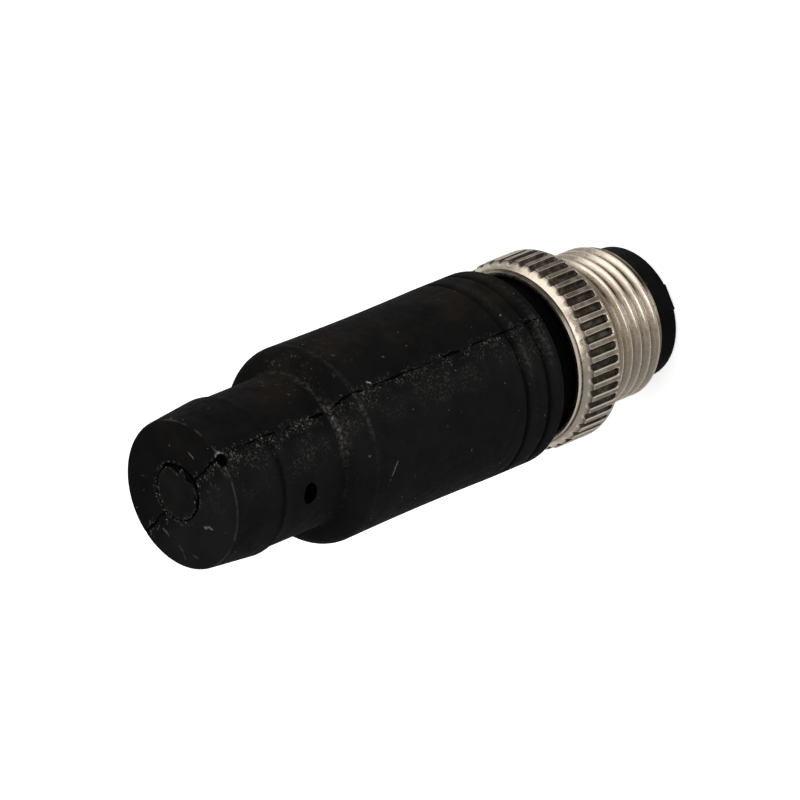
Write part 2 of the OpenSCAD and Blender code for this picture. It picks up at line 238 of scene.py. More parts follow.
def turn_on_lathe(name, points, columns, closed=True):
    """Spins a profile of (radius, height) points about the Z axis."""
    piece = draw_profile(name, points, closed)
    bpy.ops.mesh.spin(steps=columns, angle=TURN, center=(0, 0, 0), axis=(0, 0, 1))
    bpy.ops.mesh.select_all(action="SELECT")
    bpy.ops.mesh.remove_doubles(threshold=1e-7)
    bpy.ops.mesh.normals_make_consistent(inside=False)
    bpy.ops.object.mode_set(mode="OBJECT")
    return piece


def apply_modifier(piece, kind, **settings):
    """Adds a modifier, sets it and applies it."""
    activate(piece)
    modifier = piece.modifiers.new(kind.title(), kind)
    for key, value in settings.items():
        setattr(modifier, key, value)
    bpy.ops.object.modifier_apply(modifier=modifier.name)


def cut_away(piece, cutter):
    """Cuts one closed mesh out of another and deletes the cutter."""
    apply_modifier(piece, "BOOLEAN", object=cutter, operation="DIFFERENCE", solver="EXACT")
    deselect_all()
    cutter.select_set(True)
    bpy.ops.object.delete()


def place_mesh(piece):
    """Bakes a piece's place into its mesh."""
    activate(piece)
    bpy.ops.object.transform_apply(location=True, rotation=True, scale=True)


def smooth(piece, degrees=32):
    """Smooth shading with edges sharper than the angle left hard."""
    activate(piece)
    bpy.ops.object.shade_smooth_by_angle(angle=math.radians(degrees))


def finish_piece(piece, body, material, slot, *nodes):
    """Gives a piece its material, hangs it on the empty of the body it rides on, and hides the imported
    parts it stands in for.
    """
    piece.data.materials.clear()
    piece.data.materials.append(material)
    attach(piece, body)
    if nodes:
        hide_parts(*nodes)


# ---- Shader nodes ----


class Nodes:
    """Adds nodes to a tree, with values or sockets for their inputs."""

    def __init__(self, tree):
        self.tree = tree

    def add(self, kind, inputs=None, **settings):
        made = self.tree.nodes.new("ShaderNode" + kind)
        for key, value in settings.items():
            setattr(made, key, value)
        for key, value in (inputs or {}).items():
            socket = made.inputs[key]
            if isinstance(value, bpy.types.NodeSocket):
                self.tree.links.new(value, socket)
            else:
                socket.default_value = value
        return made

    def math(self, operation, first, second=0.0, third=0.0, clamp=False):
        inputs = {0: first, 1: second, 2: third}
        return self.add("Math", inputs, operation=operation, use_clamp=clamp).outputs[0]

    def vector(self, operation, first, second=(0, 0, 0), scale=None):
        inputs = {0: first, 1: second}
        if scale is not None:
            inputs["Scale"] = scale
        made = self.add("VectorMath", inputs, operation=operation)
        is_number = operation in ("DOT_PRODUCT", "LENGTH", "DISTANCE")
        return made.outputs["Value" if is_number else "Vector"]

    def times(self, first, *others):
        """The product of several values."""
        for other in others:
            first = self.math("MULTIPLY", first, other)
        return first

    def most(self, first, *others):
        """The largest of several values."""
        for other in others:
            first = self.math("MAXIMUM", first, other)
        return first

    def apart(self, value, level):
        """How far a value is from a level."""
        return self.math("ABSOLUTE", self.math("SUBTRACT", value, level))

    def ramp(self, value, low, high, out_low=0.0, out_high=1.0):
        """Maps low..high to out_low..out_high with a smooth step."""
        inputs = {0: value, 1: low, 2: high, 3: out_low, 4: out_high}
        return self.add("MapRange", inputs, interpolation_type="SMOOTHSTEP").outputs[0]

    def mix(self, factor, first, second):
        """A blend of two colours; the node's own sockets 6 and 7 are its colours."""
        made = self.add("Mix", data_type="RGBA")
        for index, value in ((0, factor), (6, first), (7, second)):
            socket = made.inputs[index]
            if isinstance(value, bpy.types.NodeSocket):
                self.tree.links.new(value, socket)
            elif hasattr(value, "__len__"):
                socket.default_value = (*value, 1)
            else:
                socket.default_value = value
        return made.outputs[2]

    def noise(self, vector, scale, detail=2.0, roughness=0.5):
        inputs = {"Vector": vector, "Scale": scale, "Detail": detail, "Roughness": roughness}
        return self.add("TexNoise", inputs).outputs["Fac"]

    def patches(self, vector, scale, detail, low, high, out_low=0.0, out_high=1.0, roughness=0.5):
        """Noise, with low..high of it mapped to out_low..out_high."""
        return self.ramp(self.noise(vector, scale, detail, roughness), low, high, out_low, out_high)

    def speckle(self, vector, scale):
        """Distance to the nearest of many scattered points, and that point's random colour."""
        made = self.add("TexVoronoi", {"Vector": vector, "Scale": scale})
        return made.outputs["Distance"], made.outputs["Color"]

    def millimetres(self):
        place = self.add("TexCoord").outputs["Object"]
        return self.vector("SCALE", place, scale=1 / MM)


def new_group(name, inputs, outputs):
    """A shader node group with named float inputs and outputs, and its inner input node."""
    group = bpy.data.node_groups.new(name, "ShaderNodeTree")
    for label, kind, default in inputs:
        socket = group.interface.new_socket(name=label, in_out="INPUT", socket_type=kind)
        if default is not None:
            socket.default_value = default
    for label in outputs:
        group.interface.new_socket(name=label, in_out="OUTPUT", socket_type="NodeSocketFloat")
    return group, Nodes(group)


def dust_group():
    """Scattered specks of dust: each cell may hold one, of its own size and strength."""
    group, n = new_group(
        "Dust",
        [
            ("Place", "NodeSocketVector", None),
            ("Cells per mm", "NodeSocketFloat", 1.0),
            ("Share", "NodeSocketFloat", 0.1),
            ("Size", "NodeSocketFloat", 0.1),
        ],
        ["Mask"],
    )
    given = group.nodes.new("NodeGroupInput").outputs
    wobble = n.add("TexNoise", {"Vector": given["Place"], "Scale": 3.0}).outputs["Color"]
    place = n.vector("ADD", given["Place"], n.vector("SCALE", wobble, scale=0.4))
    distance, colour = n.speckle(place, given["Cells per mm"])
    split = n.add("SeparateColor", {0: colour}).outputs
    chosen = n.math("LESS_THAN", split[0], given["Share"])
    size = n.math("MULTIPLY", given["Size"], n.math("ADD", split[1], 0.35))
    inside = n.ramp(distance, n.math("MULTIPLY", size, 0.5), size, 1.0, 0.0)
    strength = n.math("MULTIPLY_ADD", split[2], 0.8, 0.2)
    mask = n.math("MULTIPLY", n.math("MULTIPLY", chosen, inside), strength)
    group.links.new(mask, group.nodes.new("NodeGroupOutput").inputs["Mask"])
    return group


def crack_group():
    """A ragged line of uneven width where a distance is near zero, in millimetres."""
    group, n = new_group(
        "Ragged Crack",
        [
            ("Place", "NodeSocketVector", None),
            ("Distance", "NodeSocketFloat", 0.0),
            ("Narrow", "NodeSocketFloat", 0.02),
            ("Wide", "NodeSocketFloat", 0.1),
            ("Waviness", "NodeSocketFloat", 0.3),
        ],
        ["Mask"],
    )
    given = group.nodes.new("NodeGroupInput").outputs
    waves = n.math("SUBTRACT", n.noise(given["Place"], 1.1, 4.0, 0.65), 0.5)
    distance = n.math("MULTIPLY_ADD", waves, given["Waviness"], given["Distance"])
    distance = n.math("ABSOLUTE", distance)
    uneven = n.noise(given["Place"], 0.55, 2.0)
    width = n.ramp(uneven, 0.4, 0.62, given["Narrow"], given["Wide"])
    mask = n.ramp(distance, width, n.math("ADD", width, 0.06), 1.0, 0.0)
    group.links.new(mask, group.nodes.new("NodeGroupOutput").inputs["Mask"])
    return group


def place_group(n, group, inputs):
    """Puts a shared node group into a material and returns its mask."""
    made = n.add("Group", node_tree=group)
    for label, value in inputs.items():
        if isinstance(value, bpy.types.NodeSocket):
            n.tree.links.new(value, made.inputs[label])
        else:
            made.inputs[label].default_value = value
    return made.outputs["Mask"]


def shared_group(name, build):
    """The shared node group of that name, built on first use."""
    return bpy.data.node_groups.get(name) or build()


def new_material(name):
    """A material with its nodes and its Principled shader."""
    material = bpy.data.materials.new(name)
    material.use_nodes = True
    tree = material.node_tree
    return material, Nodes(tree), tree.nodes["Principled BSDF"]


def wire(n, shader, **sockets):
    """Sets or links the Principled shader's sockets, named with underscores."""
    for label, value in sockets.items():
        socket = shader.inputs[label.replace("_", " ")]
        if isinstance(value, bpy.types.NodeSocket):
            n.tree.links.new(value, socket)
        elif hasattr(value, "__len__"):
            socket.default_value = (*value, 1)
        else:
            socket.default_value = value


def bump(n, height_mm):
    """A normal from a height in millimetres."""
    return n.add("Bump", {"Height": height_mm, "Distance": MM, "Strength": 1.0}).outputs["Normal"]


def scaled(colour, shares):
    """A colour times one share, or times a share for each channel."""
    if not hasattr(shares, "__len__"):
        shares = (shares,) * 3
    return tuple(channel * share for channel, share in zip(colour, shares))


def mark(n, place, start, end, half_width):
    """A ragged mask along the line between two points, in millimetres."""
    start, end = Vector(start), Vector(end)
    along = end - start
    drift = n.add("TexNoise", {"Vector": place, "Scale": 1.3}).outputs["Color"]
    drift = n.vector("SCALE", n.vector("SUBTRACT", drift, (0.5, 0.5, 0.5)), scale=0.45)
    offset = n.vector("SUBTRACT", n.vector("ADD", place, drift), tuple(start))
    forward = n.vector("DOT_PRODUCT", offset, tuple(along))
    share = n.math("DIVIDE", forward, along.length_squared, clamp=True)
    nearest = n.vector("SCALE", tuple(along), scale=share)
    distance = n.vector("DISTANCE", offset, nearest)
    ragged = n.math("MULTIPLY_ADD", n.noise(place, 5.0, 3.0), half_width * 3.2, -1.2 * half_width)
    return n.ramp(distance, ragged, n.math("ADD", ragged, half_width), 1.0, 0.0)


def around(radius_mm, height_mm, turn_deg):
    """A point on a turned surface, in millimetres."""
    turn = math.radians(turn_deg)
    return (radius_mm * math.cos(turn), radius_mm * math.sin(turn), height_mm)


# ---- Materials ----

# Near-black, painted as the shade inside gaps, cracks and holes
INSIDE_A_GAP = (0.0002, 0.0002, 0.0002)
CHALK = (0.25, 0.24, 0.22)


class MouldingMarks:
    """Masks of the marks on the moulding, from places in millimetres."""

    def __init__(self, n, body):
        self.n = n
        self.body = body
        self.place = n.millimetres()
        self.height = n.add("SeparateXYZ", {0: self.place}).outputs[2]
        self.radius = n.vector("LENGTH", n.vector("MULTIPLY", self.place, (1, 1, 0)))
        self.rear = REAR_Z / MM
        self.shoulder = self.rear - (body.collar_l + body.neck_l) / MM
        self.front = self.shoulder - body.body_l / MM
        self.groove = self.front + body.groove_at / MM
        self.rear_edge_r = body.collar_end_r / MM
        self.on_rear = n.ramp(self.height, self.rear - 0.3, self.rear - 0.1)

        # How far to the side of the parting line's plane a point is, and whether it is before the axis
        self.seam_heading = tuple(heading(body.seam))
        self.aside = n.vector("DOT_PRODUCT", self.place, tuple(heading(body.seam + TURN / 4)))
        self.seam_side = n.ramp(n.vector("DOT_PRODUCT", self.place, self.seam_heading), 0.0, 3.0)

        # How far outside the cable blank a point is
        centre = around(body.blank_shift / MM, self.rear, math.degrees(body.blank_turn))
        self.from_blank = n.vector("MULTIPLY", n.vector("SUBTRACT", self.place, centre), (1, 1, 0))
        blank_r = (BLANK_BOX[1][0] - BLANK_BOX[0][0]) / 2 / MM
        self.off_blank = n.math("SUBTRACT", n.vector("LENGTH", self.from_blank), blank_r)

    def cracks(self):
        """The parting line, and the ring around the blank, open on the parting line's side: cracks
        painted near-black as the shade inside them.
        """
        n = self.n
        crack = shared_group("Ragged Crack", crack_group)
        seam = place_group(n, crack, {
            "Place": self.place,
            "Distance": self.aside,
            "Narrow": n.math("MULTIPLY_ADD", self.on_rear, 0.07, -0.05),
            "Wide": 0.075,
            "Waviness": 0.5,
        })
        open_side = n.ramp(n.vector("DOT_PRODUCT", self.from_blank, self.seam_heading), -0.6, 1.4)
        ring = place_group(n, crack, {
            "Place": self.place,
            "Distance": self.off_blank,
            "Narrow": n.math("MULTIPLY_ADD", open_side, 0.12, -0.07),
            "Wide": n.math("MULTIPLY_ADD", open_side, 0.2, 0.02),
            "Waviness": 0.9,
        })
        return n.most(seam, n.times(ring, self.on_rear))

    def bloom(self):
        """Fine pale grains beside the parting line, strongest on the neck and collar."""
        n = self.n
        return n.times(
            n.ramp(self.aside, -4.2, -1.2),
            n.ramp(self.aside, -0.4, 0.5, 1.0, 0.0),
            self.seam_side,
            n.ramp(self.height, self.shoulder - 2.0, self.shoulder + 0.5, 0.6, 1.0),
            n.patches(self.place, 0.5, 4.0, 0.44, 0.62, roughness=0.6),
            n.patches(self.place, 5.5, 4.0, 0.5, 0.74, roughness=0.75),
            0.4,
        )

    def arcs(self):
        """Pale arcs at the neck's root, on the shoulder and ahead of the ring grooves: painted
        highlights where these curves catch light, with chalk in them.
        """
        n = self.n
        levels = (
            (self.shoulder + 0.25, 0.42, 0.6),
            (self.shoulder - self.body.shoulder_fillet / MM + 0.1, 0.35, 0.3),
            (self.groove + self.body.groove_pitch / MM - 0.8, 0.5, 0.24),
            (self.groove - 0.85, 0.5, 0.24),
        )
        bands = [
            n.ramp(n.apart(self.height, level), 0.0, reach, strength, 0.0)
            for level, reach, strength in levels
        ]
        return n.times(
            n.most(*bands),
            n.patches(self.place, 3.6, 5.0, 0.42, 0.72, roughness=0.8),
            n.ramp(self.aside, -4.2, -2.2, 0.12, 1.0),
            n.ramp(self.aside, -0.2, 1.2, 1.0, 0.25),
            self.seam_side,
        )

    def crumbs(self):
        """Crumbs along the parting line and round the blank."""
        n = self.n
        by_seam = n.times(
            n.ramp(n.apart(self.aside, -0.15), 0.2, 0.75, 1.0, 0.0),
            n.patches(self.place, 0.8, 3.0, 0.44, 0.56),
            n.ramp(self.height, self.shoulder - 3.0, self.shoulder, 0.6, 1.0),
        )
        by_blank = n.times(
            n.ramp(n.apart(self.off_blank, 0.05), 0.05, 0.4, 1.0, 0.0),
            self.on_rear,
            n.patches(self.place, 0.9, 3.0, 0.42, 0.56),
        )
        grains = n.patches(self.place, 6.0, 3.0, 0.54, 0.68, roughness=0.65)
        return n.times(grains, n.most(by_seam, by_blank), 0.6)

    def flecks(self):
        """Flecks on the far side of the parting line, on the neck and the shoulder."""
        n = self.n
        return n.times(
            n.ramp(self.aside, 1.2, 2.4),
            n.ramp(self.aside, 5.2, 6.8, 1.0, 0.0),
            n.ramp(n.apart(self.height, self.shoulder), 2.0, 5.5, 1.0, 0.0),
            n.patches(self.place, 2.6, 5.0, 0.56, 0.7, roughness=0.75),
            n.patches(self.place, 0.6, 3.0, 0.42, 0.6),
            self.seam_side,
            0.2,
        )

    def dust(self):
        """Dust in two sizes."""
        n = self.n
        dust = shared_group("Dust", dust_group)
        coarse = {"Place": self.place, "Cells per mm": 0.8, "Share": 0.2, "Size": 0.08}
        fine = {"Place": self.place, "Cells per mm": 2.0, "Share": 0.07, "Size": 0.17}
        return n.times(n.most(place_group(n, dust, coarse), place_group(n, dust, fine)), 0.5)

    def scuffs(self):
        """Scuffs on the rear face and the side."""
        n = self.n
        rear, side = self.rear, self.body.radius / MM
        # Start, end, half-width and strength of each
        scuffs = (
            (around(2.9, rear, -160), around(3.5, rear, -152), 0.1, 0.35),
            (around(3.6, rear, -42), around(3.4, rear, -52), 0.06, 0.4),
            (around(3.8, rear, 119), around(3.9, rear, 127), 0.09, 0.2),
            (around(4.0, rear, 144), around(4.9, rear, 152), 0.08, 0.07),
            (around(4.5, rear, 163), around(4.7, rear, 168), 0.05, 0.15),
            (around(5.0, rear, 56), around(3.4, rear, 51), 0.03, 0.14),
            (around(0.6, rear, 65), around(0.7, rear, 75), 0.12, 0.18),
            (around(side, rear - 13.6, -131), around(side, rear - 14.5, -119), 0.05, 0.45),
            (around(side, rear - 18.7, -134.5), around(side, rear - 18.7, -136), 0.08, 0.25),
            (around(side, rear - 14.1, -71), around(side, rear - 14.3, -71.5), 0.1, 0.8),
        )
        return n.most(*[
            n.times(mark(n, self.place, start, end, half_width), strength)
            for start, end, half_width, strength in scuffs
        ])

    def nick(self):
        """The nick's hollow, painted near-black as its shade, and the pale burr round it, painted as the
        highlight the burr catches.
        """
        n, body = self.n, self.body
        centre_r = self.rear_edge_r + (body.nick_r - body.nick_depth) / MM
        centre = around(centre_r, self.rear, math.degrees(body.nick_turn))
        outside = n.math("SUBTRACT", n.vector("DISTANCE", self.place, centre), body.nick_r / MM)
        uneven = n.math("MULTIPLY_ADD", n.noise(self.place, 3.0, 3.0), 0.26, -0.16)
        outside = n.math("ADD", outside, uneven)
        hollow = n.ramp(outside, 0.02, 0.07, 1.0, 0.0)
        burr_highlight = n.math("SUBTRACT", n.ramp(outside, 0.1, 0.32, 0.75, 0.0), hollow, clamp=True)
        burr_highlight = n.times(
            burr_highlight,
            n.ramp(self.aside, -0.2, 0.3, 0.22, 1.0),
            n.patches(self.place, 2.6, 3.0, 0.44, 0.56),
        )
        return hollow, burr_highlight

    def rear_edge_highlight(self):
        """A pale line painted along the rear edge, as the highlight that its fillet catches."""
        n = self.n
        corner = self.rear_edge_r + self.rear - 0.07
        near = n.ramp(n.apart(n.math("ADD", self.radius, self.height), corner), 0.02, 0.09, 0.13, 0.0)
        return n.times(near, n.patches(self.place, 0.7, 3.0, 0.35, 0.6))

    def pin_holes(self):
        """The inside of the two pin holes, painted near-black as their shade."""
        n, body = self.n, self.body
        hole_r = body.pip_d / 2 / MM
        holes = []
        for half_turn in (0, TURN / 2):
            axis = tuple(heading(body.seam - TURN / 4 + half_turn))
            turn = math.degrees(body.seam - body.pip_turn + half_turn)
            mouth = around(body.neck_r / MM, self.rear - body.pip_from_rear / MM, turn)
            from_mouth = n.vector("SUBTRACT", self.place, mouth)
            off_axis = n.vector("LENGTH", n.vector("CROSS_PRODUCT", from_mouth, axis))
            near = n.math("LESS_THAN", n.vector("LENGTH", from_mouth), 2.0)
            holes.append(n.times(n.ramp(off_axis, hole_r, hole_r + 0.05, 1.0, 0.0), near))
        return n.most(*holes)

    def shade(self):
        """Soft dark lines in the ring grooves and at the collar's step."""
        n, body = self.n, self.body
        levels = (
            (self.groove, 0.42),
            (self.groove + body.groove_pitch / MM, 0.42),
            (self.rear - body.collar_l / MM - 0.2, 0.5),
        )
        lines = [
            n.ramp(n.apart(self.height, level), 0.0, reach, 0.7, 0.0)
            for level, reach in levels
        ]
        return n.times(n.most(*lines), n.ramp(self.aside, -1.0, 1.5, 1.0, 0.35))


def moulding_material(name, colours, body):
    """Black elastomer with its parting line, blooms, dust and scuffs, with painted shade in its cracks,
    holes, grooves and nose and painted highlights on its edges and arcs.
    """
    material, n, shader = new_material(name)
    marks = MouldingMarks(n, body)
    place, aside = marks.place, marks.aside

    # The nose inside the screw stays clean, and is painted near-black as the shade in the gap round it
    dressed = n.ramp(n.math("SUBTRACT", marks.height, marks.front), -0.3, 0.1)
    hollow, burr_highlight = marks.nick()
    # Cracks, the nick's hollow and the pin holes are painted near-black, as the shade inside them
    cracks = n.times(n.most(marks.cracks(), hollow, marks.pin_holes()), dressed)
    chalk_and_highlights = n.most(marks.bloom(), marks.arcs(), marks.crumbs(), marks.flecks())
    pale = n.most(chalk_and_highlights, marks.dust(), marks.scuffs(), burr_highlight, marks.rear_edge_highlight())
    pale = n.times(pale, dressed)

    # One side of the parting line is lighter grey in patches, the other brownish
    black = colours.moulding
    lighter_half = n.times(n.ramp(aside, -2.0, 0.0, 0.5, 0.0), n.patches(place, 0.4, 4.0, 0.3, 0.6, 0.6, 1.0))
    brown = n.times(n.ramp(aside, 0.6, 3.0), marks.seam_side, n.patches(place, 0.3, 4.0, 0.42, 0.62))
    base = n.mix(n.patches(place, 0.5, 4.0, 0.3, 0.7), scaled(black, 0.75), scaled(black, 1.1))
    base = n.mix(lighter_half, base, scaled(black, 3.0))
    base = n.mix(brown, base, (0.0095, 0.0074, 0.0054))
    base = n.mix(marks.shade(), base, (0.0008, 0.0008, 0.0008))
    # Dust, bloom, crumbs and scuffs, and painted highlights, all in the pale colour
    base = n.mix(pale, base, tuple(colours.dust))
    base = n.mix(cracks, base, INSIDE_A_GAP)
    base = n.mix(dressed, (0.0003, 0.0003, 0.0003), base)

    grain = n.noise(place, 9.0, 4.0, 0.7)
    waves = n.noise(place, 0.9, 2.0)
    relief = n.math("MULTIPLY_ADD", grain, 0.014, n.times(waves, 0.03))
    relief = n.math("MULTIPLY_ADD", cracks, -0.12, relief)
    relief = n.math("MULTIPLY_ADD", pale, 0.03, relief)
    rough = n.patches(place, 1.4, 4.0, 0.3, 0.7, 0.72, 0.88)
    rough = n.most(rough, n.times(n.most(cracks, pale), 0.95))
    wire(
        n, shader,
        Base_Color=base, Roughness=rough, Normal=bump(n, relief), Specular_IOR_Level=0.03,
    )
    return material


class ScrewMarks:
    """Masks of the grime, tarnish, painted shade and painted dark reflections on the coupling screw,
    from places in millimetres.
    """

    def __init__(self, n, screw):
        self.n = n
        self.screw = screw
        self.place = n.millimetres()
        split = n.add("SeparateXYZ", {0: self.place}).outputs
        self.turn = n.math("ARCTAN2", split[1], split[0])
        self.height = split[2]
        self.radius = n.vector("LENGTH", n.vector("MULTIPLY", self.place, (1, 1, 0)))
        self.knurl_r = (SCREW_BOX[1][0] - SCREW_BOX[0][0]) / 2 / MM
        self.front = SCREW_BOX[0][2] / MM
        self.grip_front = (SCREW_BOX[0][2] + screw.thread_l) / MM
        grip_back = (SCREW_BOX[1][2] - screw.lip_l - screw.back_cone_l) / MM
        self.on_grip = n.times(
            n.ramp(self.height, self.grip_front, self.grip_front + 0.1),
            n.ramp(self.height, grip_back, grip_back + 0.4, 1.0, 0.0),
        )

        # One side of the screw has heavier grime and tarnish; the extra darkness there is painted shade
        toward = tuple(heading(screw.shaded_turn))
        facing = n.math("DIVIDE", n.vector("DOT_PRODUCT", self.place, toward), self.radius)
        self.shaded = n.ramp(facing, 0.76, 0.93)

    def if_shaded(self, plain, extra):
        """A value that is larger by extra on the side with the heaviest painted shade."""
        return self.n.math("MULTIPLY_ADD", self.shaded, extra, plain)

    def grime_and_shade(self):
        """Grime and painted shade in the grooves and the thread's roots, and painted shade in the relief
        and round the lip.
        """
        n, screw = self.n, self.screw
        height, radius, grip_front = self.height, self.radius, self.grip_front
        floor_r = self.if_shaded(self.knurl_r - 0.1, 0.06)
        mouth_r = self.if_shaded(self.knurl_r - 0.04, 0.03)
        in_groove = n.times(n.ramp(radius, floor_r, mouth_r, 1.0, 0.0), self.on_grip, 0.98)
        root_r = screw.root_r / MM
        in_root = n.times(
            n.ramp(radius, root_r + 0.06, root_r + 0.32, 1.0, 0.0),
            n.ramp(height, grip_front - 0.05, grip_front + 0.1, 1.0, 0.0),
            self.if_shaded(0.42, 0.55),
        )
        relief_front = grip_front - screw.relief_l / MM
        in_relief = n.times(
            n.ramp(height, relief_front, relief_front + 0.25),
            n.ramp(height, grip_front + 0.2, grip_front + 0.27, 1.0, 0.0),
            n.ramp(radius, root_r + 0.2, root_r + 0.45, 1.0, 0.35),
        )
        lip_r = self.knurl_r - (screw.back_cone_h + screw.lip_step) / MM
        lip_foot = (SCREW_BOX[1][2] - screw.lip_l) / MM
        lip_side = n.times(n.ramp(radius, lip_r - 0.03, lip_r - 0.01), self.if_shaded(0.1, 0.8))
        lip_inside = n.ramp(radius, lip_r - 0.25, lip_r - 0.17, 0.7, 0.0)
        on_lip = n.times(n.ramp(height, lip_foot - 0.03, lip_foot + 0.02), n.most(lip_side, lip_inside))
        uneven = n.patches(self.place, 1.6, 4.0, 0.3, 0.6, 0.9, 1.0, roughness=0.6)
        return n.times(n.most(in_groove, in_root, in_relief, on_lip), uneven)

    def tarnish_and_shade(self):
        """Tarnish on the lands, ahead of them and on the front end, mostly painted: the lands darkened
        as the dark reflection they show, their edges left bright as painted highlights, and the front
        end darkened as painted shade.
        """
        n, screw = self.n, self.screw
        phase = n.times(n.math("ADD", self.turn, screw.screw_turn), screw.knurl_count / TURN)
        off_land = n.apart(n.math("FRACT", phase), 0.5)
        grooves_start = self.grip_front + screw.knurl_start / MM
        lands = n.times(
            n.ramp(self.radius, self.knurl_r - 0.02, self.knurl_r - 0.008),
            self.on_grip,
            n.most(
                n.ramp(self.height, grooves_start - 0.05, grooves_start, 0.85, 0.2),
                # Land edges are left bright, as painted highlights
                n.ramp(off_land, 0.1, 0.17, 1.0, self.if_shaded(0.3, 0.4)),
            ),
            self.if_shaded(0.83, 0.15),
        )
        front_end = n.times(
            n.ramp(self.height, self.front + 0.5, self.front + 1.1, 0.9, 0.0),
            self.if_shaded(0.05, 0.8),
        )
        uneven = n.patches(self.place, 1.1, 3.0, 0.35, 0.65, 0.8, 1.0)
        return n.times(n.most(lands, front_end), uneven)


def nickel_material(colours, screw):
    """Bright nickel plating with turning lines, grime and painted shade in the knurl and the thread, and
    painted dark reflections on the lands.
    """
    material, n, shader = new_material("nickel")
    marks = ScrewMarks(n, screw)
    place, grime_and_shade = marks.place, marks.grime_and_shade()

    # Turning lines run round the axis
    rings = n.add("CombineXYZ", {0: marks.radius, 1: 0.0, 2: marks.height}).outputs[0]
    lines = n.noise(rings, 14.0, 3.0, 0.7)
    pits = place_group(n, shared_group("Dust", dust_group), {
        "Place": place, "Cells per mm": 1.7, "Share": 0.12, "Size": 0.16,
    })
    stains = n.patches(place, 0.8, 5.0, 0.45, 0.75, 0.0, 0.5, roughness=0.6)
    base = n.mix(stains, colours.nickel, scaled(colours.nickel, (0.8, 0.74, 0.64)))
    # Painted dark reflection on the lands and painted shade at the front end, with some tarnish
    base = n.mix(marks.tarnish_and_shade(), base, (0.10, 0.078, 0.058))
    # Grime and painted shade in the hollows, and dark pits
    base = n.mix(n.most(grime_and_shade, n.times(pits, 0.5)), base, colours.grime_and_shade)
    rough = n.patches(place, 2.2, 4.0, 0.3, 0.7, 0.22, 0.34)
    rough = n.most(rough, n.times(grime_and_shade, 0.55))
    relief = n.math("MULTIPLY_ADD", lines, 0.002, n.times(n.noise(place, 3.0, 3.0), 0.006))
    relief = n.math("MULTIPLY_ADD", pits, -0.01, relief)
    wire(n, shader, Base_Color=base, Metallic=1.0, Roughness=rough, Normal=bump(n, relief))
    return material


def plain_plastic(name, colour, torn_rim=None):
    """Black plastic with a satin grain and a little dust.

    A torn rim, given as its centre, radius and torn side, has chalk inside it and is painted near-black
    beyond, as the shade in the gap round the blank.
    """
    material, n, shader = new_material(name)
    place = n.millimetres()
    pale = place_group(n, shared_group("Dust", dust_group), {
        "Place": place, "Cells per mm": 1.3, "Share": 0.14, "Size": 0.14,
    })
    base = n.mix(n.patches(place, 0.7, 4.0, 0.3, 0.7), scaled(colour, 0.85), scaled(colour, 1.3))
    base = n.mix(n.times(pale, 0.3), base, CHALK)
    relief = n.times(n.noise(place, 11.0, 4.0, 0.7), 0.01)
    if torn_rim:
        centre, radius, side = torn_rim
        flat = n.vector("MULTIPLY", n.vector("SUBTRACT", place, centre), (1, 1, 0))
        torn_depth = n.ramp(n.vector("DOT_PRODUCT", flat, side), 0.2, 1.3, 0.05, 0.36)
        ragged = n.times(torn_depth, n.patches(place, 1.1, 4.0, 0.36, 0.66, 0.0, 1.6))
        inward = n.math("SUBTRACT", radius, n.vector("LENGTH", flat))
        torn = n.ramp(inward, ragged, n.math("ADD", ragged, 0.05), 1.0, 0.0)
        chalk = n.ramp(inward, ragged, n.math("ADD", ragged, 0.4), 0.55, 0.0)
        chalk = n.times(chalk, n.patches(place, 4.0, 4.0, 0.52, 0.7, roughness=0.7))
        base = n.mix(chalk, base, CHALK)
        # Painted shade: near-black in the gap beyond the torn rim
        base = n.mix(torn, base, INSIDE_A_GAP)
        relief = n.math("MULTIPLY_ADD", torn, -0.1, relief)
    rough = n.patches(place, 1.2, 3.0, 0.3, 0.7, 0.5, 0.65)
    wire(
        n, shader,
        Base_Color=base, Roughness=rough, Normal=bump(n, relief), Specular_IOR_Level=0.03,
    )
    return material


def plain_metal(name, colour, rough_low, rough_high):
    """Drawn or cast metal with small changes of tone."""
    material, n, shader = new_material(name)
    place = n.millimetres()
    base = n.mix(n.patches(place, 1.5, 4.0, 0.3, 0.7), scaled(colour, 0.8), colour)
    rough = n.patches(place, 4.0, 3.0, 0.3, 0.7, rough_low, rough_high)
    relief = n.times(n.noise(place, 9.0, 3.0), 0.004)
    wire(n, shader, Base_Color=base, Metallic=1.0, Roughness=rough, Normal=bump(n, relief))
    return material


def resistor_coat():
    """Tan lacquer of the resistor."""
    material, n, shader = new_material("resistor_coat")
    place = n.millimetres()
    base = n.mix(n.patches(place, 0.9, 4.0, 0.3, 0.7), (0.50, 0.34, 0.19), (0.62, 0.45, 0.27))
    relief = n.times(n.noise(place, 1.6, 3.0), 0.03)
    wire(n, shader, Base_Color=base, Roughness=0.22, Normal=bump(n, relief))
    return material


# ---- Pieces ----


def ring_groove(radius, height, body):
    """A round-bottomed groove across a side, seen in the profile."""
    half = body.groove_w / 2
    steps = 6
    points = []
    for i in range(steps + 1):
        across = 2 * i / steps - 1
        depth = body.groove_depth * (1 + math.cos(TURN / 2 * across)) / 2
        points.append((radius - depth, height + half * across))
    return points


